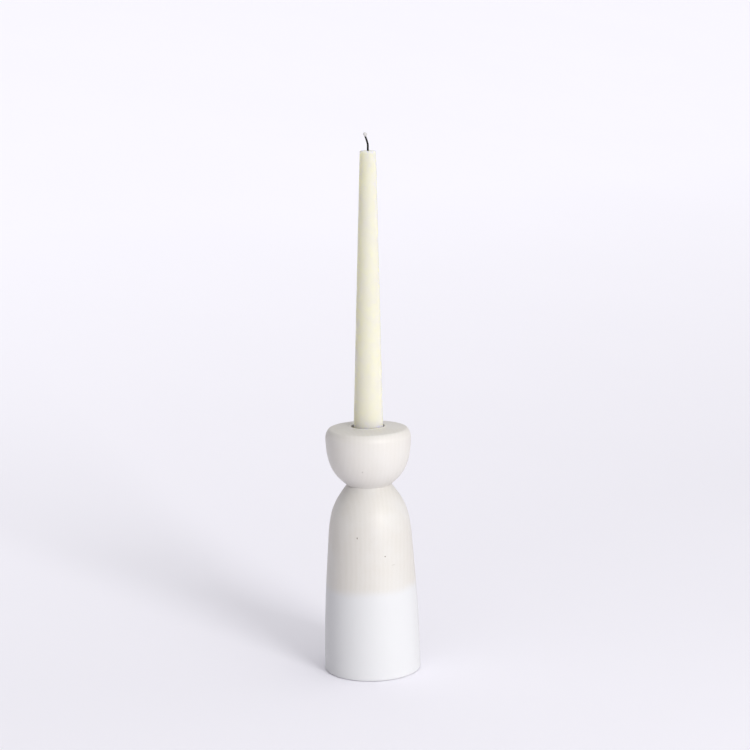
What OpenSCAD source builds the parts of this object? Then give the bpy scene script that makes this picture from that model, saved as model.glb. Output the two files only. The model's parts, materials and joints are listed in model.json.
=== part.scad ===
// Turned two-piece candlestick: a bowl-shaped head on a bell-shaped column, joined by a
// dowel in a V groove, with a lined socket, a felt foot and a part-burnt taper candle.
// The origin is the centre of the underside, on the surface it stands on, with +Z up.

/* [Column] */
// Diameter of the foot
foot_d = 72.8; // [70:0.1:76]
// Diameter of the column where its shoulder starts to round over
shoulder_d = 63.6; // [60:0.1:66]
// Height at which the shoulder starts to round over
shoulder_z = 100; // [90:1:105]
// Height of the glued joint, at the bottom of the groove
joint_z = 143.5; // [142:0.5:144]
// Diameter of the wood at the bottom of the groove
waist_d = 33.2; // [30:0.1:38]
// Radius that eases the edge of the foot
foot_round = 0.8; // [0.5:0.1:2]

/* [Head] */
// Largest diameter of the head
head_d = 64.2; // [62:0.1:67]
// Height of the head's top at the socket
top_z = 188; // [187:0.5:190]
// How far the slightly domed top falls to its edge
top_fall = 1.5; // [0.5:0.1:2]
// Diameter of the domed top at its edge, where the rim rounds over
edge_d = 57; // [54:0.5:60]
// Height of the head's widest point below the top
rim_drop = 7.9; // [6:0.1:9]

/* [Socket and liner] */
// Inner diameter of the enamelled liner
cup_d = 25; // [24:0.1:26]
// Depth of the socket, from the top of the head to the liner's floor
socket_depth = 23.5; // [22:0.5:24]
// Thickness of the liner's sheet metal
cup_sheet = 0.5; // [0.4:0.1:0.6]
// Radius of the liner's flared mouth
mouth_round = 0.7; // [0.6:0.1:1.2]
// Diameter of the liner's lip
lip_d = 28.4; // [28:0.1:30]
// How far the lip stands proud of the wood
lip_proud = 0.2; // [0:0.1:0.3]

/* [Fixings] */
// Diameter of the joining dowel
dowel_d = 10; // [8:1:10]
// Length of the dowel's half in the column
dowel_down = 23; // [18:0.5:24]
// Length of the dowel's half in the head
dowel_up = 7; // [6:0.5:7.5]
// Number of glue flutes round the dowel
flutes = 16; // [10:1:20]
// Length of the screw that holds the liner
screw_len = 9.5; // [8:0.5:10]

/* [Felt pad] */
// Diameter of the felt disc
felt_d = 62; // [56:1:66]
// Thickness of the felt disc
felt_t = 2; // [1.5:0.1:2.5]
// How far the felt stands out of its recess
felt_proud = 0.3; // [0.2:0.1:0.8]

/* [Candle] */
// Diameter of the candle at the mouth of the socket
candle_d = 22; // [21:0.1:23]
// Diameter of the candle at its burnt top
candle_tip_d = 12; // [11:0.1:14]
// Length that is left of the candle
candle_len = 228.5; // [60:0.5:240]
// Lean of the candle towards +X, in degrees
lean = 1.1; // [0:0.1:1.5]
// Depth of the melted hollow round the wick
melt_depth = 1.8; // [1:0.1:2.5]
// Diameter of the wick
wick_d = 1.5; // [1.2:0.1:1.8]

/* [Hidden] */
$fn = 96;
curve_steps = 18;
arc_steps = 6;
glue_gap = 0.05;
eps = 0.01;

foot_z = felt_proud;
foot_r = foot_d / 2;
waist_r = waist_d / 2;
head_r = head_d / 2;
edge_r = edge_d / 2;
cup_r = cup_d / 2;
lip_r = lip_d / 2;
cup_outer_r = cup_r + cup_sheet;
socket_z = top_z - socket_depth;
lip_rebate = cup_sheet - lip_proud;
mouth_z = top_z + lip_proud - mouth_round;

recess_gap = 0.3;
recess_z = felt_t;

dowel_chamfer = 1;
dowel_end_gap = 1;
flute_r = 0.45;

screw_head_r = 2.8;
screw_shank_r = 1.3;
screw_core_r = 0.95;
thread_r = 1.45;
thread_pitch = 1.2;
thread_top = 3;
thread_count = 4;
screw_point = 2;
screw_sink = 0.05;
slot_w = 0.7;
slot_len = 3;
slot_depth = 0.7;
dimple_r = 3;
dimple_hole_r = 1.6;
dimple_depth = dimple_r - dimple_hole_r;

candle_r = candle_d / 2;
candle_tip_r = candle_tip_d / 2;
candle_gap = 0.3;
candle_z = socket_z + candle_gap;
candle_foot_chamfer = 0.8;
candle_taper_from = socket_depth;
candle_shoulder = 1;
melt_r = candle_tip_r - 1.4;

wick_r = wick_d / 2;
wick_gap = 0.02;
wick_start = 1;
wick_knot = 0.06;
ash_r = 1.6;
// The wick's centre line above the wax, as [x, height above the candle's rim]
wick_bends = [[0, 4.5], [-0.8, 7.3], [-1.7, 10]];
ash_at = [-1.9, 11.8];

// A point on the cubic curve through p[0] and p[3], with handles p[1] and p[2]
function bezier(p, t) =
    pow(1 - t, 3) * p[0]
    + 3 * pow(1 - t, 2) * t * p[1]
    + 3 * (1 - t) * t * t * p[2]
    + pow(t, 3) * p[3];

// Points along that curve, without its first one
function curve(p, steps = curve_steps) =
    [for (i = [1:steps]) bezier(p, i / steps)];

// Points along an arc of a circle, both ends included
function arc(centre, r, from, to, steps = arc_steps) =
    [for (i = [0:steps])
        let (a = from + (to - from) * i / steps)
        centre + r * [cos(a), sin(a)]];

// The bell: nearly straight sides that lean in, then a shoulder that rolls into the groove
function column_outline() =
    let (
        side_start = [foot_r, foot_z + foot_round],
        shoulder = [shoulder_d / 2, shoulder_z]
    )
    concat(
        [[0, foot_z]],
        arc([foot_r - foot_round, foot_z + foot_round], foot_round, -90, 0),
        curve([side_start, [foot_r, 40], [shoulder[0] + 2.2, 70], shoulder]),
        curve([shoulder, [shoulder[0] - 1.4, 121.7], [28.2, 128.8], [waist_r, joint_z]]),
        [[0, joint_z]]
    );

// The bowl: out of the groove at about 45 degrees, upright at the widest point, then the
// rounded rim, and the slightly domed top that ends level round the socket
function head_outline() =
    let (
        start = [waist_r, joint_z],
        widest = [head_r, top_z - rim_drop],
        edge = [edge_r, top_z - top_fall],
        level = [lip_r + 1, top_z]
    )
    concat(
        [[0, joint_z], start],
        curve([start, start + [5.8, 5.6], [head_r, top_z - 34], widest]),
        curve([widest, [head_r, top_z - 5.8], edge + [2, -0.28], edge]),
        curve([edge, edge + [-4.3, 0.6], level + [4.3, -0.2], level]),
        [[0, top_z]]
    );

module column() {
    color("#e6e2de")
    difference() {
        rotate_extrude()
            polygon(column_outline());
        translate([0, 0, foot_z - eps])
            cylinder(r = felt_d / 2 + recess_gap, h = recess_z - foot_z + eps);
        translate([0, 0, joint_z - dowel_down - dowel_end_gap])
            cylinder(r = dowel_d / 2 + glue_gap, h = dowel_down + dowel_end_gap + eps);
    }
}

module head() {
    color("#e9e5e0")
    difference() {
        rotate_extrude()
            polygon(head_outline());
        // the socket, with a rebate for the lip and a seat for the dimple in its floor
        translate([0, 0, socket_z - cup_sheet - glue_gap])
            cylinder(r = cup_outer_r + glue_gap, h = socket_depth + cup_sheet + glue_gap + eps);
        translate([0, 0, top_z - lip_rebate - glue_gap])
            cylinder(r = lip_r + glue_gap, h = lip_rebate + glue_gap + eps);
        translate([0, 0, mouth_z])
            cylinder(r1 = cup_outer_r + glue_gap, r2 = cup_r + mouth_round,
                     h = mouth_round - cup_sheet - glue_gap);
        translate([0, 0, socket_z - cup_sheet - dimple_depth - glue_gap])
            cylinder(r1 = dimple_hole_r + cup_sheet, r2 = dimple_r + cup_sheet + 2 * glue_gap,
                     h = dimple_depth + eps);
        translate([0, 0, socket_z - screw_len])
            cylinder(r = screw_core_r, h = screw_len);
        translate([0, 0, joint_z - eps])
            cylinder(r = dowel_d / 2 + glue_gap, h = dowel_up + dowel_end_gap + eps);
    }
}

module joint_dowel() {
    r = dowel_d / 2;
    length = dowel_down + dowel_up;
    color("#d8b78a")
    translate([0, 0, joint_z - dowel_down])
    difference() {
        rotate_extrude()
            polygon([
                [0, 0],
                [r - dowel_chamfer, 0],
                [r, dowel_chamfer],
                [r, length - dowel_chamfer],
                [r - dowel_chamfer, length],
                [0, length]
            ]);
        for (i = [0:flutes - 1])
            rotate([0, 0, i * 360 / flutes])
            translate([r, 0, -eps])
                cylinder(r = flute_r, h = length + 2 * eps, $fn = 16);
    }
}

module candle_cup() {
    flare = [cup_r + mouth_round, mouth_z - socket_z];
    color("#e8e6e2")
    translate([0, 0, socket_z])
    rotate_extrude()
        polygon(concat(
            arc(flare, mouth_round, 90, 180),
            [
                [cup_r, 0],
                [dimple_r, 0],
                [dimple_hole_r, -dimple_depth],
                [dimple_hole_r, -dimple_depth - cup_sheet],
                [dimple_hole_r + 0.6 * cup_sheet, -dimple_depth - cup_sheet],
                [dimple_r + 0.6 * cup_sheet, -cup_sheet],
                [cup_outer_r, -cup_sheet]
            ],
            arc(flare, mouth_round - cup_sheet, 180, 90),
            [
                [lip_r, socket_depth - lip_rebate],
                [lip_r, socket_depth + lip_proud]
            ]
        ));
}

// The thread is drawn as separate ridges instead of one helix
module cup_screw() {
    neck_z = screw_shank_r - screw_head_r - 3 * screw_sink;
    color("#b9b4a8")
    translate([0, 0, socket_z])
    difference() {
        union() {
            rotate_extrude()
                polygon([
                    [0, -screw_sink],
                    [screw_head_r, -screw_sink],
                    [screw_head_r, -3 * screw_sink],
                    [screw_shank_r, neck_z],
                    [screw_shank_r, -thread_top],
                    [screw_core_r, -thread_top - 0.3],
                    [screw_core_r, screw_point - screw_len],
                    [0, -screw_len]
                ]);
            for (i = [0:thread_count - 1])
                translate([0, 0, -thread_top - 0.6 - i * thread_pitch])
                rotate_extrude()
                    polygon([
                        [0, 0.35],
                        [screw_core_r - 0.05, 0.35],
                        [thread_r, 0],
                        [screw_core_r - 0.05, -0.35],
                        [0, -0.35]
                    ]);
        }
        for (a = [0, 90])
            rotate([0, 0, a])
            translate([-slot_len / 2, -slot_w / 2, -slot_depth])
                cube([slot_len, slot_w, slot_depth]);
    }
}

module felt_pad() {
    color("#8c8680")
    cylinder(d = felt_d, h = felt_t);
}

// Places its children on the candle's own axis, with z = 0 at the candle's foot
module candle_axis() {
    translate([0, 0, candle_z])
    rotate([0, lean, 0])
        children();
}

module candle() {
    rim_z = candle_len;
    color("#efecd6")
    candle_axis()
    difference() {
        rotate_extrude()
            polygon(concat(
                [
                    [0, 0],
                    [candle_r - candle_foot_chamfer, 0],
                    [candle_r, candle_foot_chamfer],
                    [candle_r, candle_taper_from]
                ],
                curve([
                    [candle_tip_r, rim_z - candle_shoulder],
                    [candle_tip_r, rim_z - 0.4],
                    [candle_tip_r - 0.4, rim_z],
                    [candle_tip_r - candle_shoulder, rim_z]
                ], arc_steps),
                [[melt_r, rim_z]],
                curve([
                    [melt_r, rim_z],
                    [melt_r - 0.6, rim_z - melt_depth],
                    [melt_r / 2, rim_z - melt_depth],
                    [0, rim_z - melt_depth]
                ], arc_steps)
            ));
        translate([0, 0, -eps])
            cylinder(r = wick_r + wick_gap, h = candle_len, $fn = 32);
    }
}

// One straight length of wick between two points of the xz plane, with a round knot at its end
module wick_length(from, to) {
    run = to - from;
    translate([from[0], 0, from[1]])
    rotate([0, atan2(run[0], run[1]), 0])
        cylinder(r = wick_r, h = norm(run), $fn = 32);
    translate([to[0], 0, to[1]])
        sphere(r = wick_r + wick_knot, $fn = 32);
}

module wick() {
    points = concat(
        [[0, wick_start]],
        [for (p = wick_bends) [p[0], candle_len + p[1]]]
    );
    color("#2a2624")
    candle_axis() {
        for (i = [1:len(points) - 1])
            wick_length(points[i - 1], points[i]);
        translate([ash_at[0], 0, candle_len + ash_at[1]])
            sphere(r = ash_r, $fn = 32);
    }
}

column();
head();
joint_dowel();
candle_cup();
cup_screw();
felt_pad();
candle();
wick();
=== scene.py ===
import json
import math

import bmesh
import bpy
from mathutils import Matrix, Vector, noise


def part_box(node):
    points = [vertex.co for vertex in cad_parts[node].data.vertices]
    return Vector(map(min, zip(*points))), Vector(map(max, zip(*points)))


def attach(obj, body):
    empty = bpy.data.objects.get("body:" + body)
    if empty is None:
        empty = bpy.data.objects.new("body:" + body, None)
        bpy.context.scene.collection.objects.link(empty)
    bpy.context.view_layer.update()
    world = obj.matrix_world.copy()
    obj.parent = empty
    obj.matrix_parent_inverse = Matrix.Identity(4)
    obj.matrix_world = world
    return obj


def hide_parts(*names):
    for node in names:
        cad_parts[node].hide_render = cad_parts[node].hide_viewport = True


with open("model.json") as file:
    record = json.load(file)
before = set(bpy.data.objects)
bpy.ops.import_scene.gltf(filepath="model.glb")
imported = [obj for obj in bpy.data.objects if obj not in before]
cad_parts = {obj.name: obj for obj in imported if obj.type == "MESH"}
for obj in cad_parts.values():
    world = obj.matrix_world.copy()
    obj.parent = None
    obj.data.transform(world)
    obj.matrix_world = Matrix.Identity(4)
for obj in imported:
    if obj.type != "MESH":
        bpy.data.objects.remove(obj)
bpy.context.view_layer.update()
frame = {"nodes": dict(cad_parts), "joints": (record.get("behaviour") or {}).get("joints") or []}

MM = 0.001


# ---- Studio -----------------------------------------------------------------------------
# A sheet of pale paper lies under the candlestick and sweeps up behind it, nearer on the left.
# A soft light stands low at the front right, with a small lit card close by on the same side.
# The room fills the shadows: brightest overhead, and darker on the left. Turns are in degrees.

CAMERA_BACK = 1418 * MM
CAMERA_HEIGHT = 474 * MM
CAMERA_RIGHT = 6.2 * MM
CAMERA_DOWN = 9.9
CAMERA_ROLL = -1.2
CAMERA_LENS = 92.6
KEY_RIGHT = 33
KEY_UP = 17.5
KEY_SPREAD = 21
KEY_STRENGTH = 2.03
FILL_LEVEL = 0.39
FILL_OVERHEAD = 0.685
LEFT_DARKENING = 0.8
LEFT_FROM = -0.25
CARD_AT = (0.6, -0.5, 0.35)
CARD_SIZE = 0.3
CARD_POWER = 0.4
PAPER = "#f0eef5"
PAPER_PULP = "#f2f0f7"
CLOUD_SIZE = 400 * MM
ROOM = "#fefeff"
PAPER_HALF_WIDTH = 14.0
PAPER_FRONT = -12.0
SWEEP_START = 0.15
SWEEP_RADIUS = 6.5
SWEEP_ANGLE = 13.5
SWEEP_STEPS = 32
SWEEP_BEYOND = 9.0
SWEEP_TURN = 43


def linear(hex_colour):
    """The linear colour of an sRGB hex value, with alpha 1."""
    parts = [int(hex_colour[i:i + 2], 16) / 255 for i in (1, 3, 5)]
    curved = [p / 12.92 if p <= 0.04045 else ((p + 0.055) / 1.055) ** 2.4 for p in parts]
    return (*curved, 1.0)


def add(tree, kind, values=None, links=None, **settings):
    """One shader node: its settings, its sockets' values, and the outputs linked to its sockets."""
    made = tree.nodes.new(kind)
    for name, value in settings.items():
        setattr(made, name, value)
    for name, value in (values or {}).items():
        made.inputs[name].default_value = value
    for name, source in (links or {}).items():
        tree.links.new(source, made.inputs[name])
    return made


def material(name):
    """An empty material, and its node tree."""
    made = bpy.data.materials.new(name)
    made.use_nodes = True
    made.node_tree.nodes.clear()
    return made, made.node_tree


def surface(tree, values, links=None):
    """The Principled shader of a material, joined to its output."""
    shader = add(tree, "ShaderNodeBsdfPrincipled", values, links)
    add(tree, "ShaderNodeOutputMaterial", links={"Surface": shader.outputs["BSDF"]})
    return shader


def finished(bm, name, finish, sharp=40):
    """The object of a finished bmesh, at the origin, smooth but for edges sharper than an angle."""
    bmesh.ops.remove_doubles(bm, verts=bm.verts, dist=0.001 * MM)
    bmesh.ops.recalc_face_normals(bm, faces=bm.faces)
    for face in bm.faces:
        face.smooth = True
    for edge in bm.edges:
        edge.smooth = edge.calc_face_angle(0) < math.radians(sharp)
    mesh = bpy.data.meshes.new(name)
    bm.to_mesh(mesh)
    bm.free()
    mesh.materials.append(finish)
    made = bpy.data.objects.new(name, mesh)
    bpy.context.scene.collection.objects.link(made)
    return made


# matt backdrop paper: cool white, with the faintest cloudiness of its pulp
paper, tree = material("backdrop_paper")
coords = add(tree, "ShaderNodeTexCoord")
clouds = add(tree, "ShaderNodeTexNoise", {"Scale": 1 / CLOUD_SIZE, "Detail": 2.0},
             {"Vector": coords.outputs["Object"]})
pulp = add(tree, "ShaderNodeMixRGB", {"Color1": linear(PAPER), "Color2": linear(PAPER_PULP)},
           {"Fac": clouds.outputs["Fac"]})
surface(tree, {"Roughness": 0.9, "Specular IOR Level": 0.2},
        {"Base Color": pulp.outputs["Color"]})

bm = bmesh.new()
edge_line = [bm.verts.new((-PAPER_HALF_WIDTH, PAPER_FRONT, 0)),
             bm.verts.new((-PAPER_HALF_WIDTH, SWEEP_START, 0))]
bm.edges.new(edge_line)
bmesh.ops.spin(bm, geom=[edge_line[1]], cent=(0, SWEEP_START, SWEEP_RADIUS), axis=(1, 0, 0),
               dvec=(0, 0, 0), angle=math.radians(SWEEP_ANGLE), steps=SWEEP_STEPS,
               use_merge=False)
last = max(bm.verts, key=lambda v: v.co.y)
slope = math.radians(SWEEP_ANGLE)
far = bm.verts.new(last.co + SWEEP_BEYOND * Vector((0, math.cos(slope), math.sin(slope))))
bm.edges.new((last, far))
swept = bmesh.ops.extrude_edge_only(bm, edges=bm.edges[:])
bmesh.ops.translate(bm, verts=[v for v in swept["geom"] if isinstance(v, bmesh.types.BMVert)],
                    vec=(2 * PAPER_HALF_WIDTH, 0, 0))
bmesh.ops.rotate(bm, verts=bm.verts, cent=(0, 0, 0),
                 matrix=Matrix.Rotation(math.radians(SWEEP_TURN), 3, "Z"))
backdrop = finished(bm, "backdrop", paper)

scene = bpy.context.scene
world = bpy.data.worlds.new("white_room")
world.use_nodes = True
tree = world.node_tree
tree.nodes.clear()
ways = add(tree, "ShaderNodeTexCoord")
way = add(tree, "ShaderNodeSeparateXYZ", links={"Vector": ways.outputs["Generated"]})
up = add(tree, "ShaderNodeMath", {1: FILL_OVERHEAD, 2: FILL_LEVEL},
         {0: way.outputs["Z"]}, operation="MULTIPLY_ADD")
left = add(tree, "ShaderNodeMapRange", {"From Min": LEFT_FROM, "From Max": -1.0,
                                        "To Min": 1.0, "To Max": 1 - LEFT_DARKENING},
           {"Value": way.outputs["X"]})
level = add(tree, "ShaderNodeMath",
            links={0: up.outputs["Value"], 1: left.outputs["Result"]}, operation="MULTIPLY")
room = add(tree, "ShaderNodeBackground", {"Color": linear(ROOM)},
           {"Strength": level.outputs["Value"]})
add(tree, "ShaderNodeOutputWorld", links={"Surface": room.outputs["Background"]})
scene.world = world

key = bpy.data.objects.new("key_light", bpy.data.lights.new("key_light", "SUN"))
key.data.energy = KEY_STRENGTH
key.data.angle = math.radians(KEY_SPREAD)
key.rotation_euler = (math.radians(90 - KEY_UP), 0, math.radians(KEY_RIGHT))
scene.collection.objects.link(key)

card = bpy.data.objects.new("lit_card", bpy.data.lights.new("lit_card", "AREA"))
card.data.size = CARD_SIZE
card.data.energy = CARD_POWER
card.location = CARD_AT
card.rotation_euler = (-Vector(CARD_AT)).to_track_quat("-Z", "Y").to_euler()
card.visible_camera = False
scene.collection.objects.link(card)

camera = bpy.data.objects.new("camera", bpy.data.cameras.new("camera"))
camera.data.lens = CAMERA_LENS
camera.data.clip_end = 100
camera.matrix_world = (
    Matrix.Translation((CAMERA_RIGHT, -CAMERA_BACK, CAMERA_HEIGHT))
    @ Matrix.Rotation(math.radians(90 - CAMERA_DOWN), 4, "X")
    @ Matrix.Rotation(math.radians(CAMERA_ROLL), 4, "Z")
)
scene.collection.objects.link(camera)
scene.camera = camera
scene.view_settings.view_transform = "Standard"


# ---- Column -----------------------------------------------------------------------------
# The bell-shaped lower part is turned from one piece of beech, limewashed and sealed with a
# satin varnish. Its foot is dipped in white paint, to a line that is soft and not quite level.

foot_low, column_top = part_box("column")
FOOT_R = column_top.x
FOOT_Z = foot_low.z
JOINT_Z = column_top.z
WAIST_R = 16.6 * MM
SHOULDER_R = 31.8 * MM
SHOULDER_Z = 100 * MM
FOOT_ROUND = 0.8 * MM
RECESS_R = 31.3 * MM
RECESS_Z = 2 * MM
DOWEL_BORE_R = 5.05 * MM
DOWEL_DOWN = 24 * MM
TURNING_STEPS = 160
SIDE_STEPS = 40
# handles of the two curves of its side, as (radius, height)
FOOT_HANDLE = (FOOT_R, 40 * MM)
SHOULDER_HANDLE_BELOW = (SHOULDER_R + 2.2 * MM, 70 * MM)
SHOULDER_HANDLE_ABOVE = (SHOULDER_R - 1.4 * MM, 121.7 * MM)
WAIST_HANDLE = (28.2 * MM, 128.8 * MM)
# how far a turned face strays from a perfect circle, and over what distance
TURNING_WANDER = 0.06 * MM
WANDER_LENGTH = 30 * MM

LIMED_PALE = "#cfcbc6"
LIMED_DARK = "#cac6bf"
LIME_RESIDUE = "#d0cecb"
# painted light: a paler colour for the side of the bowl, standing in for the light the floor throws
# up onto it
BOWL_PAINTED_LIGHT = "#dcd8d3"
# painted light on the bowl: the height it lies round, how far above and below it is full and it
# ends
BOWL_MIDDLE = 166 * MM
PAINTED_LIGHT_FULL = 15 * MM
PAINTED_LIGHT_ENDS = 21 * MM
PAINTED_LIGHT_SHARE = 0.38
RAY_BROWN = "#b3a99e"
FLECK_BROWN = "#6b5e52"
DIP_WHITE = "#d1d1d2"
HEART_AWAY = (52 * MM, 34 * MM, 0)
HEART_TILT = (0.035, -0.05, 0)
RING_WIDTH = 3.4 * MM
RING_BEND = 6 * MM
BEND_LENGTH = 60 * MM
PATCH_SIZE = 22 * MM
FIBRE_WIDTH = 0.45 * MM
FIBRE_LENGTH = 14 * MM
RAY_WIDTH = 0.5 * MM
RAY_LENGTH = 2.4 * MM
DIP_LINE = 67 * MM
DIP_SLANT = 0.03
DIP_SOFT = 4.5 * MM
DIP_ROUGHNESS = 0.44
DIP_WANDER = 5 * MM
WANDER_SIZE = 25 * MM
# pin knots and marks: degrees round from the front, then the height, distance from the axis,
# width and length in mm, and the strength
FLECKS = [
    (-17.5, 109.0, 31.8, 0.9, 1.6, 0.85),
    (20.1, 94.8, 31.8, 1.3, 0.9, 0.85),
    (-9.0, 158.7, 29.05, 1.2, 1.4, 0.28),
    (18.7, 137.8, 29.05, 0.7, 1.9, 0.30),
    (32.4, 87.7, 31.8, 2.6, 0.6, 0.25),
]


def bezier(start, handle_a, handle_b, end, steps):
    """Points along a cubic curve in the (radius, height) plane, without its first one."""
    points = []
    for i in range(1, steps + 1):
        t = i / steps
        u = 1 - t
        weights = (u ** 3, 3 * u * u * t, 3 * u * t * t, t ** 3)
        points.append(tuple(
            sum(w * p[k] for w, p in zip(weights, (start, handle_a, handle_b, end)))
            for k in (0, 1)))
    return points


def arc(centre, radius, first, last, steps):
    """Points along an arc in the (radius, height) plane, in degrees, both ends included."""
    angles = [math.radians(first + (last - first) * i / steps) for i in range(steps + 1)]
    return [(centre[0] + radius * math.cos(a), centre[1] + radius * math.sin(a))
            for a in angles]


def turned(outline, steps=TURNING_STEPS):
    """A bmesh turned from an outline of (radius, height) points, round the Z axis."""
    bm = bmesh.new()
    verts = [bm.verts.new((radius, 0, height)) for radius, height in outline]
    edges = [bm.edges.new(pair) for pair in zip(verts, verts[1:])]
    bmesh.ops.spin(bm, geom=verts + edges, cent=(0, 0, 0), axis=(0, 0, 1), dvec=(0, 0, 0),
                   angle=math.tau, steps=steps, use_merge=True)
    bmesh.ops.remove_doubles(bm, verts=bm.verts, dist=0.001 * MM)
    return bm


def wander(bm, amount, length, seed):
    """Moves each point in or out by a smooth noise, as a hand-held tool does."""
    for vert in bm.verts:
        flat = Vector((vert.co.x, vert.co.y, 0))
        if flat.length > amount:
            drift = noise.noise(vert.co / length + Vector((seed, 0, 0)))
            vert.co += flat.normalized() * drift * amount


# limewashed beech: the white lime fills the grain and leaves it only just visible; the satin
# varnish over it is broken by the fibres, and the dipped paint is denser, cooler and smoother
limed_beech, tree = material("limewashed_beech_dipped_foot")
coords = add(tree, "ShaderNodeTexCoord")
place = coords.outputs["Object"]
# the heart of the tree lies outside the blank, so the sides show long arcs of its rings
off_heart = add(tree, "ShaderNodeMapping", {"Location": HEART_AWAY, "Rotation": HEART_TILT},
                {"Vector": place})
bend = add(tree, "ShaderNodeTexNoise", {"Scale": 1 / BEND_LENGTH, "Detail": 2.0},
           {"Vector": place})
bent = add(tree, "ShaderNodeVectorMath", {1: (RING_BEND, RING_BEND, RING_BEND)},
           {0: bend.outputs["Color"], 2: off_heart.outputs["Vector"]}, operation="MULTIPLY_ADD")
# the wave node runs through 20 radians per unit
rings = add(tree, "ShaderNodeTexWave", {"Scale": math.tau / 20 / RING_WIDTH},
            {"Vector": bent.outputs["Vector"]},
            wave_type="RINGS", rings_direction="Z", wave_profile="SIN")
along_grain = add(tree, "ShaderNodeMapping",
                  {"Scale": (1 / FIBRE_WIDTH, 1 / FIBRE_WIDTH, 1 / FIBRE_LENGTH)},
                  {"Vector": place})
fibres = add(tree, "ShaderNodeTexNoise", {"Scale": 1.0, "Detail": 4.0, "Roughness": 0.6},
             {"Vector": along_grain.outputs["Vector"]})
ray_grid = add(tree, "ShaderNodeMapping",
               {"Scale": (1 / RAY_WIDTH, 1 / RAY_WIDTH, 1 / RAY_LENGTH)}, {"Vector": place})
ray_noise = add(tree, "ShaderNodeTexNoise", {"Scale": 1.0, "Detail": 1.0},
                {"Vector": ray_grid.outputs["Vector"]})
rays = add(tree, "ShaderNodeMapRange", {"From Min": 0.62, "From Max": 0.74},
           {"Value": ray_noise.outputs["Fac"]})
grain = add(tree, "ShaderNodeMixRGB", {"Fac": 0.6},
            {"Color1": rings.outputs["Fac"], "Color2": fibres.outputs["Fac"]})
limed = add(tree, "ShaderNodeMixRGB", {"Color1": linear(LIMED_PALE),
                                       "Color2": linear(LIMED_DARK)},
            {"Fac": grain.outputs["Color"]})
patches = add(tree, "ShaderNodeTexNoise", {"Scale": 1 / PATCH_SIZE, "Detail": 3.0},
              {"Vector": place})
residue = add(tree, "ShaderNodeMapRange", {"From Min": 0.45, "From Max": 0.7, "To Max": 0.6},
              {"Value": patches.outputs["Fac"]})
washed = add(tree, "ShaderNodeMixRGB", {"Color2": linear(LIME_RESIDUE)},
             {"Fac": residue.outputs["Result"], "Color1": limed.outputs["Color"]})
ray_tint = add(tree, "ShaderNodeMath", {1: 0.10}, {0: rays.outputs["Result"]},
               operation="MULTIPLY")
wood_colour = add(tree, "ShaderNodeMixRGB", {"Color2": linear(RAY_BROWN)},
                  {"Fac": ray_tint.outputs["Value"], "Color1": washed.outputs["Color"]})
# painted light: the side of the bowl is painted lighter than its top or the column, standing in for
# the light the floor throws up onto it
axes = add(tree, "ShaderNodeSeparateXYZ", links={"Vector": place})
from_middle = add(tree, "ShaderNodeMath", {1: BOWL_MIDDLE}, {0: axes.outputs["Z"]},
                  operation="SUBTRACT")
from_middle = add(tree, "ShaderNodeMath", links={0: from_middle.outputs["Value"]},
                  operation="ABSOLUTE")
painted_bowl_light = add(tree, "ShaderNodeMapRange", {"From Min": PAINTED_LIGHT_ENDS, "From Max": PAINTED_LIGHT_FULL,
                                           "To Max": PAINTED_LIGHT_SHARE},
              {"Value": from_middle.outputs["Value"]})
bowl_lit_colour = add(tree, "ShaderNodeMixRGB", {"Color2": linear(BOWL_PAINTED_LIGHT)},
                  {"Fac": painted_bowl_light.outputs["Result"], "Color1": wood_colour.outputs["Color"]})
# each fleck is a small ellipsoid round its own point of the surface
colour = bowl_lit_colour.outputs["Color"]
for degrees, height, out, wide, tall, strength in FLECKS:
    turn = math.radians(degrees)
    centre = (out * MM * math.sin(turn), -out * MM * math.cos(turn), height * MM)
    from_centre = add(tree, "ShaderNodeVectorMath", {1: centre}, {0: place},
                      operation="SUBTRACT")
    sized = add(tree, "ShaderNodeVectorMath",
                {1: (2 / (wide * MM), 0.2 / (wide * MM), 2 / (tall * MM))},
                {0: from_centre.outputs["Vector"]}, operation="MULTIPLY")
    distance = add(tree, "ShaderNodeVectorMath", links={0: sized.outputs["Vector"]},
                   operation="LENGTH")
    mask = add(tree, "ShaderNodeMapRange", {"From Min": 1.2, "From Max": 0.6,
                                            "To Max": strength},
               {"Value": distance.outputs["Value"]})
    fleck = add(tree, "ShaderNodeMixRGB", {"Color2": linear(FLECK_BROWN)},
                {"Fac": mask.outputs["Result"], "Color1": colour})
    colour = fleck.outputs["Color"]
# the dip line: a slanting level with a slow wander
tide = add(tree, "ShaderNodeTexNoise", {"Scale": 1 / WANDER_SIZE, "Detail": 2.0},
           {"Vector": place})
tide_height = add(tree, "ShaderNodeMath", {1: DIP_WANDER, 2: -DIP_WANDER / 2},
                  {0: tide.outputs["Fac"]}, operation="MULTIPLY_ADD")
slant = add(tree, "ShaderNodeMath", {1: -DIP_SLANT}, {0: axes.outputs["X"]},
            operation="MULTIPLY")
level = add(tree, "ShaderNodeMath", links={0: axes.outputs["Z"], 1: slant.outputs["Value"]},
            operation="ADD")
level = add(tree, "ShaderNodeMath",
            links={0: level.outputs["Value"], 1: tide_height.outputs["Value"]},
            operation="ADD")
dipped = add(tree, "ShaderNodeMapRange",
             {"From Min": DIP_LINE + DIP_SOFT, "From Max": DIP_LINE - DIP_SOFT},
             {"Value": level.outputs["Value"]}, interpolation_type="SMOOTHSTEP")
painted = add(tree, "ShaderNodeMixRGB", {"Color2": linear(DIP_WHITE)},
              {"Fac": dipped.outputs["Result"], "Color1": colour})
sheen = add(tree, "ShaderNodeMapRange", {"To Min": 0.42, "To Max": 0.54},
            {"Value": fibres.outputs["Fac"]})
roughness = add(tree, "ShaderNodeMixRGB",
                {"Color2": (DIP_ROUGHNESS, DIP_ROUGHNESS, DIP_ROUGHNESS, 1)},
                {"Fac": dipped.outputs["Result"], "Color1": sheen.outputs["Result"]})
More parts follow.
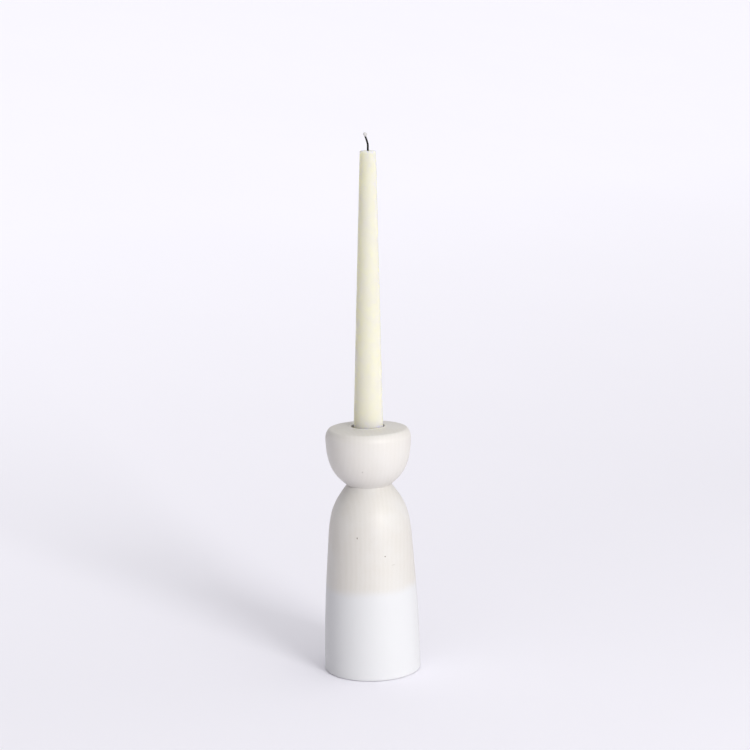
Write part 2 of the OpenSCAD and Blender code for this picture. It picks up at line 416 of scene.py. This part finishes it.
relief = add(tree, "ShaderNodeMath", {1: -1.0}, {0: rays.outputs["Result"]},
             operation="MULTIPLY")
relief = add(tree, "ShaderNodeMath",
             links={0: relief.outputs["Value"], 1: fibres.outputs["Fac"]}, operation="ADD")
bare = add(tree, "ShaderNodeMapRange", {"To Min": 1.0, "To Max": 0.15},
           {"Value": dipped.outputs["Result"]})
bump = add(tree, "ShaderNodeBump", {"Distance": 0.03 * MM},
           {"Height": relief.outputs["Value"], "Strength": bare.outputs["Result"]})
gloss = add(tree, "ShaderNodeMapRange", {"To Min": 0.5, "To Max": 0.2},
            {"Value": dipped.outputs["Result"]})
surface(tree, {"IOR": 1.5},
        {"Base Color": painted.outputs["Color"], "Roughness": roughness.outputs["Color"],
         "Specular IOR Level": gloss.outputs["Result"], "Normal": bump.outputs["Normal"]})

foot_corner = (FOOT_R, FOOT_Z + FOOT_ROUND)
shoulder = (SHOULDER_R, SHOULDER_Z)
outline = (
    [(0, RECESS_Z), (RECESS_R, RECESS_Z), (RECESS_R, FOOT_Z)]
    + arc((FOOT_R - FOOT_ROUND, FOOT_Z + FOOT_ROUND), FOOT_ROUND, -90, 0, steps=6)
    + bezier(foot_corner, FOOT_HANDLE, SHOULDER_HANDLE_BELOW, shoulder, SIDE_STEPS)
    + bezier(shoulder, SHOULDER_HANDLE_ABOVE, WAIST_HANDLE, (WAIST_R, JOINT_Z), SIDE_STEPS)
    + [(DOWEL_BORE_R, JOINT_Z), (DOWEL_BORE_R, JOINT_Z - DOWEL_DOWN),
       (0, JOINT_Z - DOWEL_DOWN)]
)
bm = turned(outline)
wander(bm, TURNING_WANDER, WANDER_LENGTH, seed=3.0)
column = finished(bm, "turned_column", limed_beech)
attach(column, "holder")
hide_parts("column")


# ---- Joint dowel ------------------------------------------------------------------------
# A fluted beech dowel, 10 x 30 mm, is glued into both bores and holds the head on the column.
# It is raw wood, hidden in the joint.

DOWEL_TAN = "#d3b084"
DOWEL_BROWN = "#b48d5f"
DOWEL_FIBRE_WIDTH = 0.4 * MM
DOWEL_FIBRE_LENGTH = 8 * MM

# raw beech dowel: straight pinkish-tan fibres, crushed matt by the fluting rollers
raw_beech, tree = material("raw_beech_dowel")
coords = add(tree, "ShaderNodeTexCoord")
along = add(tree, "ShaderNodeMapping",
            {"Scale": (1 / DOWEL_FIBRE_WIDTH, 1 / DOWEL_FIBRE_WIDTH, 1 / DOWEL_FIBRE_LENGTH)},
            {"Vector": coords.outputs["Object"]})
fibres = add(tree, "ShaderNodeTexNoise", {"Scale": 1.0, "Detail": 4.0},
             {"Vector": along.outputs["Vector"]})
tan = add(tree, "ShaderNodeMixRGB", {"Color1": linear(DOWEL_TAN), "Color2": linear(DOWEL_BROWN)},
          {"Fac": fibres.outputs["Fac"]})
bump = add(tree, "ShaderNodeBump", {"Distance": 0.08 * MM},
           {"Height": fibres.outputs["Fac"]})
surface(tree, {"Roughness": 0.78},
        {"Base Color": tan.outputs["Color"], "Normal": bump.outputs["Normal"]})
frame["nodes"]["joint_dowel"].data.materials.clear()
frame["nodes"]["joint_dowel"].data.materials.append(raw_beech)


# ---- Head -------------------------------------------------------------------------------
# The bowl-shaped head is turned from the same beech and limewashed with the column. Its top is
# slightly domed and bored for the liner, and its underside meets the column in a sharp groove.

HEAD_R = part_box("head")[1].x
TOP_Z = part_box("head")[1].z
RIM_DROP = 7.9 * MM
EDGE_R = 28.5 * MM
EDGE_FALL = 1.5 * MM
LEVEL_R = 15.5 * MM
LIP_SEAT_R = 14.25 * MM
LIP_SEAT_DEPTH = 0.35 * MM
MOUTH_DEPTH = 0.5 * MM
SOCKET_R = 13.05 * MM
SOCKET_DEPTH = 24.05 * MM
DIMPLE_R = 3.6 * MM
DIMPLE_DEPTH = 1.4 * MM
PILOT_R = 0.95 * MM
PILOT_Z = TOP_Z - 33 * MM
DOWEL_UP = 8 * MM
# handles of its three curves, as (radius, height): the bowl's side, the rim, the domed top
GROOVE_HANDLE = (WAIST_R + 5.8 * MM, JOINT_Z + 5.6 * MM)
SIDE_HANDLE = (HEAD_R, TOP_Z - 34 * MM)
RIM_HANDLE_BELOW = (HEAD_R, TOP_Z - 5.8 * MM)
RIM_HANDLE_ABOVE = (EDGE_R + 2 * MM, TOP_Z - EDGE_FALL - 0.28 * MM)
DOME_HANDLE_OUT = (EDGE_R - 4.3 * MM, TOP_Z - EDGE_FALL + 0.6 * MM)
DOME_HANDLE_IN = (LEVEL_R + 4.3 * MM, TOP_Z - 0.2 * MM)

socket_floor = TOP_Z - SOCKET_DEPTH
groove = (WAIST_R, JOINT_Z)
widest = (HEAD_R, TOP_Z - RIM_DROP)
edge = (EDGE_R, TOP_Z - EDGE_FALL)
outline = (
    [(0, JOINT_Z + DOWEL_UP), (DOWEL_BORE_R, JOINT_Z + DOWEL_UP), (DOWEL_BORE_R, JOINT_Z),
     groove]
    + bezier(groove, GROOVE_HANDLE, SIDE_HANDLE, widest, SIDE_STEPS)
    + bezier(widest, RIM_HANDLE_BELOW, RIM_HANDLE_ABOVE, edge, steps=20)
    + bezier(edge, DOME_HANDLE_OUT, DOME_HANDLE_IN, (LEVEL_R, TOP_Z), steps=12)
    + [(LIP_SEAT_R, TOP_Z), (LIP_SEAT_R, TOP_Z - LIP_SEAT_DEPTH),
       (SOCKET_R + MOUTH_DEPTH - LIP_SEAT_DEPTH, TOP_Z - LIP_SEAT_DEPTH),
       (SOCKET_R, TOP_Z - MOUTH_DEPTH), (SOCKET_R, socket_floor), (DIMPLE_R, socket_floor),
       (DIMPLE_R - DIMPLE_DEPTH, socket_floor - DIMPLE_DEPTH),
       (PILOT_R, socket_floor - DIMPLE_DEPTH), (PILOT_R, PILOT_Z), (0, PILOT_Z)]
)
bm = turned(outline)
wander(bm, TURNING_WANDER, WANDER_LENGTH, seed=7.0)
head = finished(bm, "turned_head", limed_beech)
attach(head, "holder")
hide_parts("head")


# ---- Candle cup -------------------------------------------------------------------------
# The socket is lined with a drawn steel cup in off-white enamel, that keeps the flame and the
# hot wax off the wood. Its mouth flares into a narrow lip, sunk in a rebate of the head's top.

CUP_R = 12.5 * MM
SHEET = 0.5 * MM
MOUTH_ROUND = 0.7 * MM
LIP_R = 14.2 * MM
LIP_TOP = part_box("candle_cup")[1].z
CUP_FLOOR = TOP_Z - 23.5 * MM
CUP_DIMPLE_R = 3 * MM
CUP_HOLE_R = 1.6 * MM
LIP_ROLL = 0.2 * MM
SMALL_TURNING_STEPS = 96
ENAMEL_WHITE = "#dddad4"
ENAMEL_SHADE = "#d6d3cb"
SPECKLE_SIZE = 0.6 * MM
WAVE_SIZE = 4 * MM

# off-white enamel on drawn steel: satin and a little wavy, with the speckle of fired enamel
enamel, tree = material("off_white_enamel")
coords = add(tree, "ShaderNodeTexCoord")
speckle = add(tree, "ShaderNodeTexNoise", {"Scale": 1 / SPECKLE_SIZE, "Detail": 2.0},
              {"Vector": coords.outputs["Object"]})
fired = add(tree, "ShaderNodeMixRGB", {"Color1": linear(ENAMEL_WHITE),
                                       "Color2": linear(ENAMEL_SHADE)},
            {"Fac": speckle.outputs["Fac"]})
wavy = add(tree, "ShaderNodeTexNoise", {"Scale": 1 / WAVE_SIZE, "Detail": 2.0},
           {"Vector": coords.outputs["Object"]})
satin = add(tree, "ShaderNodeMapRange", {"To Min": 0.32, "To Max": 0.44},
            {"Value": wavy.outputs["Fac"]})
bump = add(tree, "ShaderNodeBump", {"Distance": 0.04 * MM}, {"Height": wavy.outputs["Fac"]})
surface(tree, {"Coat Weight": 0.2, "Coat Roughness": 0.25},
        {"Base Color": fired.outputs["Color"], "Roughness": satin.outputs["Result"],
         "Normal": bump.outputs["Normal"]})

flare = (CUP_R + MOUTH_ROUND, LIP_TOP - MOUTH_ROUND)
outline = (
    [(CUP_HOLE_R, CUP_FLOOR - DIMPLE_DEPTH), (CUP_DIMPLE_R, CUP_FLOOR), (CUP_R, CUP_FLOOR)]
    + arc(flare, MOUTH_ROUND, 180, 90, steps=8)
    + arc((LIP_R - LIP_ROLL, LIP_TOP - LIP_ROLL), LIP_ROLL, 90, 0, steps=4)
    + [(LIP_R, LIP_TOP - SHEET)]
    + arc(flare, MOUTH_ROUND - SHEET, 90, 180, steps=6)
    + [(CUP_R + SHEET, CUP_FLOOR - SHEET), (CUP_DIMPLE_R + 0.6 * SHEET, CUP_FLOOR - SHEET),
       (CUP_HOLE_R + 0.6 * SHEET, CUP_FLOOR - SHEET - DIMPLE_DEPTH),
       (CUP_HOLE_R, CUP_FLOOR - SHEET - DIMPLE_DEPTH),
       (CUP_HOLE_R, CUP_FLOOR - DIMPLE_DEPTH)]
)
cup = finished(turned(outline, SMALL_TURNING_STEPS), "drawn_candle_cup", enamel)
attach(cup, "holder")
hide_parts("candle_cup")


# ---- Cup screw --------------------------------------------------------------------------
# A small countersunk wood screw, zinc plated, goes through the cup's floor into the head. Its
# shape is the CAD solid's own, thread and cross slot included, and only the plating is added.

ZINC_PALE = "#b4b5b3"
ZINC_DARK = "#94948f"
ZINC_PATCH = 1.2 * MM

# zinc plate: bluish grey, dull, with the cloudy patches of barrel plating
zinc, tree = material("zinc_plated_screw")
coords = add(tree, "ShaderNodeTexCoord")
clouds = add(tree, "ShaderNodeTexNoise", {"Scale": 1 / ZINC_PATCH, "Detail": 3.0},
             {"Vector": coords.outputs["Object"]})
plate = add(tree, "ShaderNodeMixRGB", {"Color1": linear(ZINC_PALE), "Color2": linear(ZINC_DARK)},
            {"Fac": clouds.outputs["Fac"]})
dull = add(tree, "ShaderNodeMapRange", {"To Min": 0.3, "To Max": 0.5},
           {"Value": clouds.outputs["Fac"]})
surface(tree, {"Metallic": 1.0},
        {"Base Color": plate.outputs["Color"], "Roughness": dull.outputs["Result"]})
frame["nodes"]["cup_screw"].data.materials.clear()
frame["nodes"]["cup_screw"].data.materials.append(zinc)


# ---- Felt pad ---------------------------------------------------------------------------
# A disc of pressed wool felt, 62 x 2 mm, is glued in the recess under the foot and stands a
# little out of it, so the wood never touches the table.

FELT_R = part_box("felt_pad")[1].x
FELT_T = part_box("felt_pad")[1].z
FELT_EDGE = 0.35 * MM
# a short flat ring beside the rounded edge keeps the flat face's shading flat
EDGE_KEEP = 0.4 * MM
FELT_DARK = "#6f6860"
FELT_PALE = "#a39b92"
TANGLE_SIZE = 0.5 * MM

# pressed wool felt: matt, with short tangled fibres and paler hairs on the surface
felt, tree = material("pressed_wool_felt")
coords = add(tree, "ShaderNodeTexCoord")
tangle = add(tree, "ShaderNodeTexNoise",
             {"Scale": 1 / TANGLE_SIZE, "Detail": 5.0, "Roughness": 0.7, "Distortion": 1.5},
             {"Vector": coords.outputs["Object"]})
wool = add(tree, "ShaderNodeMixRGB", {"Color1": linear(FELT_DARK), "Color2": linear(FELT_PALE)},
           {"Fac": tangle.outputs["Fac"]})
bump = add(tree, "ShaderNodeBump", {"Distance": 0.25 * MM},
           {"Height": tangle.outputs["Fac"]})
surface(tree, {"Roughness": 0.95, "Specular IOR Level": 0.1, "Sheen Weight": 0.4,
               "Sheen Roughness": 0.5},
        {"Base Color": wool.outputs["Color"], "Normal": bump.outputs["Normal"]})

outline = (
    [(0, 0), (FELT_R - FELT_EDGE - EDGE_KEEP, 0)]
    + arc((FELT_R - FELT_EDGE, FELT_EDGE), FELT_EDGE, -90, 0, steps=4)
    + [(FELT_R, FELT_T), (0, FELT_T)]
)
pad = finished(turned(outline, SMALL_TURNING_STEPS), "felt_disc", felt)
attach(pad, "holder")
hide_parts("felt_pad")


# ---- Candle -----------------------------------------------------------------------------
# A dipped taper candle of ivory paraffin wax, burnt for a while: the top is a shallow pool
# with a softened rim. It stands in the cup and leans a little to the right.

lift_axis = Vector(next(j["axis"] for j in frame["joints"] if j["name"] == "candle_lift"))
LEAN = math.atan2(lift_axis.x, lift_axis.z)
CANDLE_LEN = 228.5 * MM
# it leans, so the middle of its foot stands a little over the cup's floor
FOOT_LIFT = 0.3 * MM
CANDLE_FOOT_Z = CUP_FLOOR + FOOT_LIFT
CANDLE_R = 11 * MM
CANDLE_CHAMFER = 0.8 * MM
TIP_R = 6 * MM
TAPER_FROM = 23.5 * MM
TIP_ROUND = 1.0 * MM
MELT_DEPTH = 1.8 * MM
MELT_R = TIP_R - 1.4 * MM
MELT_HEIGHT = 3 * MM
WICK_R = 0.75 * MM
WICK_FOOT_R = WICK_R + 0.6 * MM
WICK_FOOT_UP = 0.5 * MM
# handles of the taper and of the melted pool, as (radius, height)
TAPER_HANDLE_BELOW = (CANDLE_R - 1.5 * MM, 90 * MM)
TAPER_HANDLE_ABOVE = (TIP_R + 1.6 * MM, 165 * MM)
POOL_HANDLE_OUT = (MELT_R - 0.3 * MM, CANDLE_LEN)
POOL_HANDLE_IN = (MELT_R - 1.2 * MM, CANDLE_LEN - MELT_DEPTH)
CANDLE_WANDER = 0.08 * MM
DIP_RIPPLE = 18 * MM
WAX_IVORY = "#d3d0c6"
WAX_SHADE = "#cfccc0"
CLOUD_ACROSS = 9 * MM
CLOUD_ALONG = 22 * MM
WAX_DEPTH = 24 * MM
SKIN_SIZE = 1.6 * MM

candle_place = (Matrix.Translation((0, 0, CANDLE_FOOT_Z)) @ Matrix.Rotation(LEAN, 4, "Y"))

# ivory paraffin: light goes deep into it, so its shadow side glows faintly yellow-green;
# dipping leaves soft clouds along it, and the melted top is glossy
wax, tree = material("ivory_paraffin_wax")
coords = add(tree, "ShaderNodeTexCoord")
dips = add(tree, "ShaderNodeMapping",
           {"Scale": (1 / CLOUD_ACROSS, 1 / CLOUD_ACROSS, 1 / CLOUD_ALONG)},
           {"Vector": coords.outputs["Object"]})
cloud = add(tree, "ShaderNodeTexNoise", {"Scale": 1.0, "Detail": 3.0},
            {"Vector": dips.outputs["Vector"]})
ivory = add(tree, "ShaderNodeMixRGB", {"Color1": linear(WAX_IVORY), "Color2": linear(WAX_SHADE)},
            {"Fac": cloud.outputs["Fac"]})
axes = add(tree, "ShaderNodeSeparateXYZ", links={"Vector": coords.outputs["Object"]})
melted = add(tree, "ShaderNodeMapRange",
             {"From Min": CANDLE_FOOT_Z + CANDLE_LEN - MELT_HEIGHT,
              "From Max": CANDLE_FOOT_Z + CANDLE_LEN - 0.5 * MM,
              "To Min": 0.46, "To Max": 0.2},
             {"Value": axes.outputs["Z"]})
skin = add(tree, "ShaderNodeTexNoise", {"Scale": 1 / SKIN_SIZE, "Detail": 3.0},
           {"Vector": coords.outputs["Object"]})
bump = add(tree, "ShaderNodeBump", {"Distance": 0.03 * MM, "Strength": 0.6},
           {"Height": skin.outputs["Fac"]})
surface(tree, {"Subsurface Weight": 1.0, "Subsurface Radius": (1.0, 1.0, 0.35),
               "Subsurface Scale": WAX_DEPTH, "IOR": 1.44, "Specular IOR Level": 0.1},
        {"Base Color": ivory.outputs["Color"], "Roughness": melted.outputs["Result"],
         "Normal": bump.outputs["Normal"]})

outline = (
    [(WICK_R, 0), (CANDLE_R - CANDLE_CHAMFER, 0), (CANDLE_R, CANDLE_CHAMFER),
     (CANDLE_R, TAPER_FROM * 0.5), (CANDLE_R, TAPER_FROM)]
    + bezier((CANDLE_R, TAPER_FROM), TAPER_HANDLE_BELOW, TAPER_HANDLE_ABOVE,
             (TIP_R, CANDLE_LEN - TIP_ROUND), steps=60)
    + arc((TIP_R - TIP_ROUND, CANDLE_LEN - TIP_ROUND), TIP_ROUND, 10, 90, steps=8)
    + bezier((TIP_R - TIP_ROUND, CANDLE_LEN), POOL_HANDLE_OUT, POOL_HANDLE_IN,
             (WICK_FOOT_R, CANDLE_LEN - MELT_DEPTH), steps=12)
    + [(WICK_R, CANDLE_LEN - MELT_DEPTH + WICK_FOOT_UP), (WICK_R, 0)]
)
bm = turned(outline, SMALL_TURNING_STEPS)
wander(bm, CANDLE_WANDER, DIP_RIPPLE, seed=11.0)
bmesh.ops.transform(bm, matrix=candle_place, verts=bm.verts)
candle = finished(bm, "taper_candle", wax)
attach(candle, "candle")
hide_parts("candle")


# ---- Wick -------------------------------------------------------------------------------
# A braided cotton wick runs the length of the candle. Above the wax it is charred black and
# bends to the left, and its end has burnt to a small knob of grey ash.

STRAND_R = 0.44 * MM
STRAND_OFF = 0.36 * MM
STRANDS = 3
BRAID_PITCH = 3.2 * MM
RINGS_PER_PITCH = 10
ASH_R = 1.6 * MM
CRUMBLE_SIZE = 0.7 * MM
COTTON = "#d8d2b4"
SOOT_BLACK = "#030303"
SOOT_GREY = "#0e0c0b"
ASH_GREY = "#cdcbc9"
GRIT_SIZE = 0.35 * MM
CHAR_RAGGED = 1.2 * MM
# heights from the candle's rim between which the braid turns black, and then ash grey
CHAR_BETWEEN = (-1.5 * MM, 0.6 * MM)
ASH_BETWEEN = (10.4 * MM, 11.2 * MM)
WICK_START = 1 * MM
# the wick's centre line above the candle's rim: sideways and up, in mm
BENDS = [(0, 0), (0, 4.5), (-0.8, 7.3), (-1.7, 10.0), (-1.9, 11.8)]

# charred cotton: waxed ivory braid below, soot black above the wax, ash grey at the end
char, tree = material("charred_cotton_wick")
coords = add(tree, "ShaderNodeTexCoord")
axes = add(tree, "ShaderNodeSeparateXYZ", links={"Vector": coords.outputs["Object"]})
grit = add(tree, "ShaderNodeTexNoise", {"Scale": 1 / GRIT_SIZE, "Detail": 4.0},
           {"Vector": coords.outputs["Object"]})
ragged = add(tree, "ShaderNodeMath", {1: CHAR_RAGGED},
             {0: grit.outputs["Fac"], 2: axes.outputs["Z"]}, operation="MULTIPLY_ADD")
rim_z = CANDLE_FOOT_Z + CANDLE_LEN
burnt = add(tree, "ShaderNodeMapRange",
            {"From Min": rim_z + CHAR_BETWEEN[0], "From Max": rim_z + CHAR_BETWEEN[1]},
            {"Value": ragged.outputs["Value"]})
ashen = add(tree, "ShaderNodeMapRange",
            {"From Min": rim_z + ASH_BETWEEN[0], "From Max": rim_z + ASH_BETWEEN[1]},
            {"Value": ragged.outputs["Value"]})
soot = add(tree, "ShaderNodeMixRGB", {"Color1": linear(SOOT_BLACK), "Color2": linear(SOOT_GREY)},
           {"Fac": grit.outputs["Fac"]})
braid = add(tree, "ShaderNodeMixRGB", {"Color1": linear(COTTON)},
            {"Fac": burnt.outputs["Result"], "Color2": soot.outputs["Color"]})
ash = add(tree, "ShaderNodeMixRGB", {"Color2": linear(ASH_GREY)},
          {"Fac": ashen.outputs["Result"], "Color1": braid.outputs["Color"]})
bump = add(tree, "ShaderNodeBump", {"Distance": 0.1 * MM}, {"Height": grit.outputs["Fac"]})
surface(tree, {"Roughness": 0.9, "Specular IOR Level": 0.2},
        {"Base Color": ash.outputs["Color"], "Normal": bump.outputs["Normal"]})


def wick_centre(s):
    """The centre line at height s along the candle, straight from each bend to the next."""
    above = (s - CANDLE_LEN) / MM
    if above <= 0:
        return Vector((0, 0, s))
    for low, high in zip(BENDS, BENDS[1:]):
        if above <= high[1]:
            t = (above - low[1]) / (high[1] - low[1])
            return Vector(((low[0] + (high[0] - low[0]) * t) * MM, 0, s))
    return Vector((BENDS[-1][0] * MM, 0, s))


wick_end = CANDLE_LEN + BENDS[-1][1] * MM
ring_count = int((wick_end - WICK_START) / BRAID_PITCH * RINGS_PER_PITCH)
bm = bmesh.new()
for strand in range(STRANDS):
    ring = None
    for i in range(ring_count + 1):
        s = WICK_START + (wick_end - WICK_START) * i / ring_count
        turn = math.tau * (s / BRAID_PITCH + strand / STRANDS)
        centre = wick_centre(s) + STRAND_OFF * Vector((math.cos(turn), math.sin(turn), 0))
        circle = bmesh.ops.create_circle(bm, segments=7, radius=STRAND_R,
                                         matrix=Matrix.Translation(centre), cap_ends=False)
        edges = list({e for v in circle["verts"] for e in v.link_edges})
        if ring is None or i == ring_count:
            bmesh.ops.contextual_create(bm, geom=edges)
        if ring is not None:
            bmesh.ops.bridge_loops(bm, edges=ring + edges)
        ring = edges
middle = Vector((BENDS[-1][0] * MM, 0, wick_end))
knob = bmesh.ops.create_icosphere(bm, subdivisions=3, radius=ASH_R,
                                  matrix=Matrix.Translation(middle))
# the ash is crumbly: its ball is a tenth smaller on average, and uneven
for vert in knob["verts"]:
    crumble = noise.noise(vert.co / CRUMBLE_SIZE)
    vert.co = middle + (vert.co - middle) * (0.9 + 0.25 * crumble)
bmesh.ops.transform(bm, matrix=candle_place, verts=bm.verts)
wick = finished(bm, "braided_wick", char, sharp=75)
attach(wick, "candle")
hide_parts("wick")
